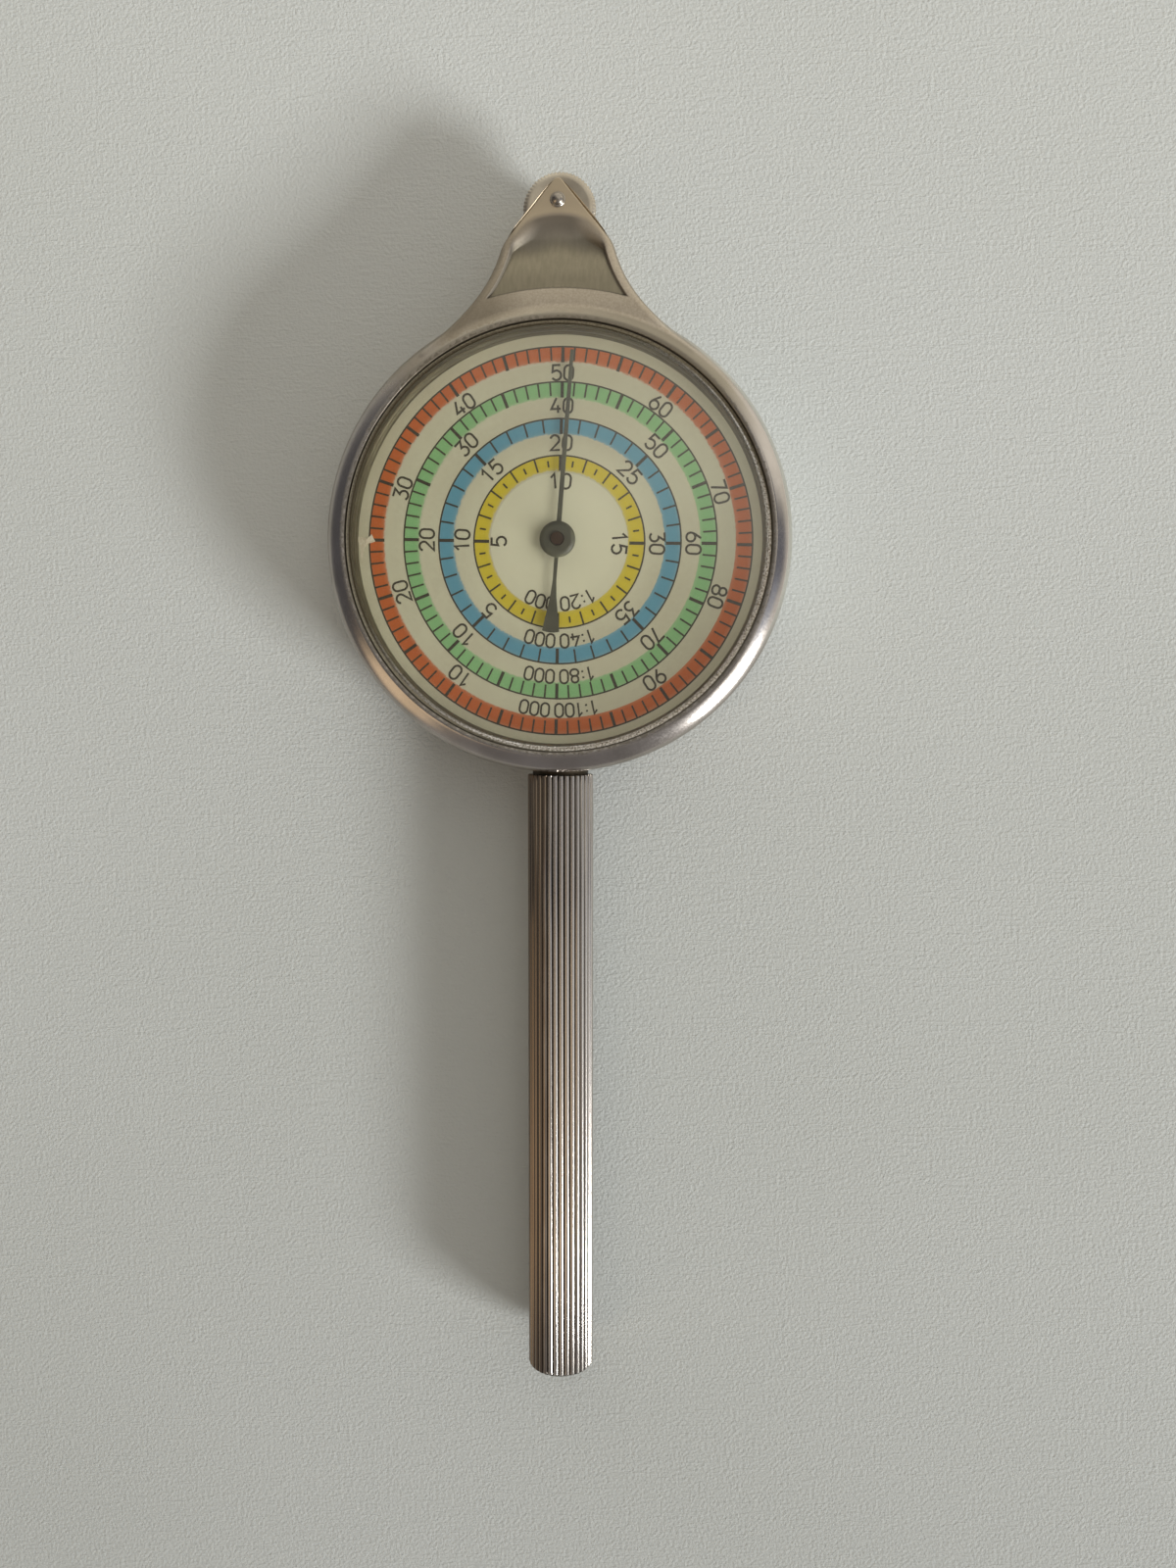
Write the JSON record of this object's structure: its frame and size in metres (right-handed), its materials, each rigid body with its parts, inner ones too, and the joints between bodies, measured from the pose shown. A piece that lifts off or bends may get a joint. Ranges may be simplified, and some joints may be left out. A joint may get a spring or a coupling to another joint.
{
  "type": "map measurer",
  "caption": "Handheld map measurer: round glazed case with four coloured distance rings, a hand, a small tracing wheel on a pointed nose and a ribbed handle.",
  "frame": {"origin": "on the dial's axis at the flat back of the case", "axes": "+Z out of the dial, +Y from the dial's centre towards the tracing wheel, the handle runs along -Y"},
  "size_m": [0.0404, 0.1072, 0.009],
  "materials": {
    "nickel_shell": "worn nickel plate, satin to bright",
    "crystal": "clear, lightly scuffed",
    "reflector": "turned, dulled",
    "dial_card": "matt cream print",
    "brass": "plain brass",
    "steel": "bright steel",
    "dark_steel": "dulled steel",
    "handle_chrome": "bright ribbed plate",
    "wheel_nickel": "satin nickel",
    "arbor_bronze": "browned",
    "hand_black": "matt black"
  },
  "bodies": {
    "case": {"front_shell": "nickel_shell", "rear_shell": "nickel_shell", "crystal": "crystal", "reflector_ring": "reflector", "dial": "dial_card", "dial_feet": "brass", "front_plate": "brass", "rear_plate": "brass", "plate_pillars": "brass", "pillar_screws": "steel", "wheel_pin": "steel", "handle_stud": "dark_steel", "handle": "handle_chrome"},
    "tracing_wheel": {"tracing_wheel": "wheel_nickel", "wheel_pinion": "brass"},
    "first_gear": {"first_gear": "brass", "first_pinion": "steel", "first_arbor": "steel"},
    "second_gear": {"second_gear": "brass", "second_pinion": "steel", "second_arbor": "steel"},
    "hand": {"centre_gear": "brass", "centre_arbor": "arbor_bronze", "hand": "hand_black", "hand_boss": "hand_black"}
  },
  "joints": [
    {"name": "hand_turn", "type": "hinge", "parent": "case", "child": "hand", "pos_m": [0, 0, 0.006], "axis": [0, 0, 1], "continuous": true},
    {"name": "second_gear_turn", "type": "hinge", "parent": "case", "child": "second_gear", "pos_m": [0.00188, 0.01564, 0.003], "axis": [0, 0, 1], "continuous": true},
    {"name": "first_gear_turn", "type": "hinge", "parent": "case", "child": "first_gear", "pos_m": [0, 0.0229, 0.003], "axis": [0, 0, 1], "continuous": true},
    {"name": "wheel_turn", "type": "hinge", "parent": "case", "child": "tracing_wheel", "pos_m": [0, 0.0289, 0.0045], "axis": [0, 0, 1], "continuous": true}
  ],
  "couplings": [
    {"joint": "second_gear_turn", "follows": "hand_turn", "ratio": -2.5},
    {"joint": "first_gear_turn", "follows": "hand_turn", "ratio": 12.5},
    {"joint": "wheel_turn", "follows": "hand_turn", "ratio": -50}
  ]
}
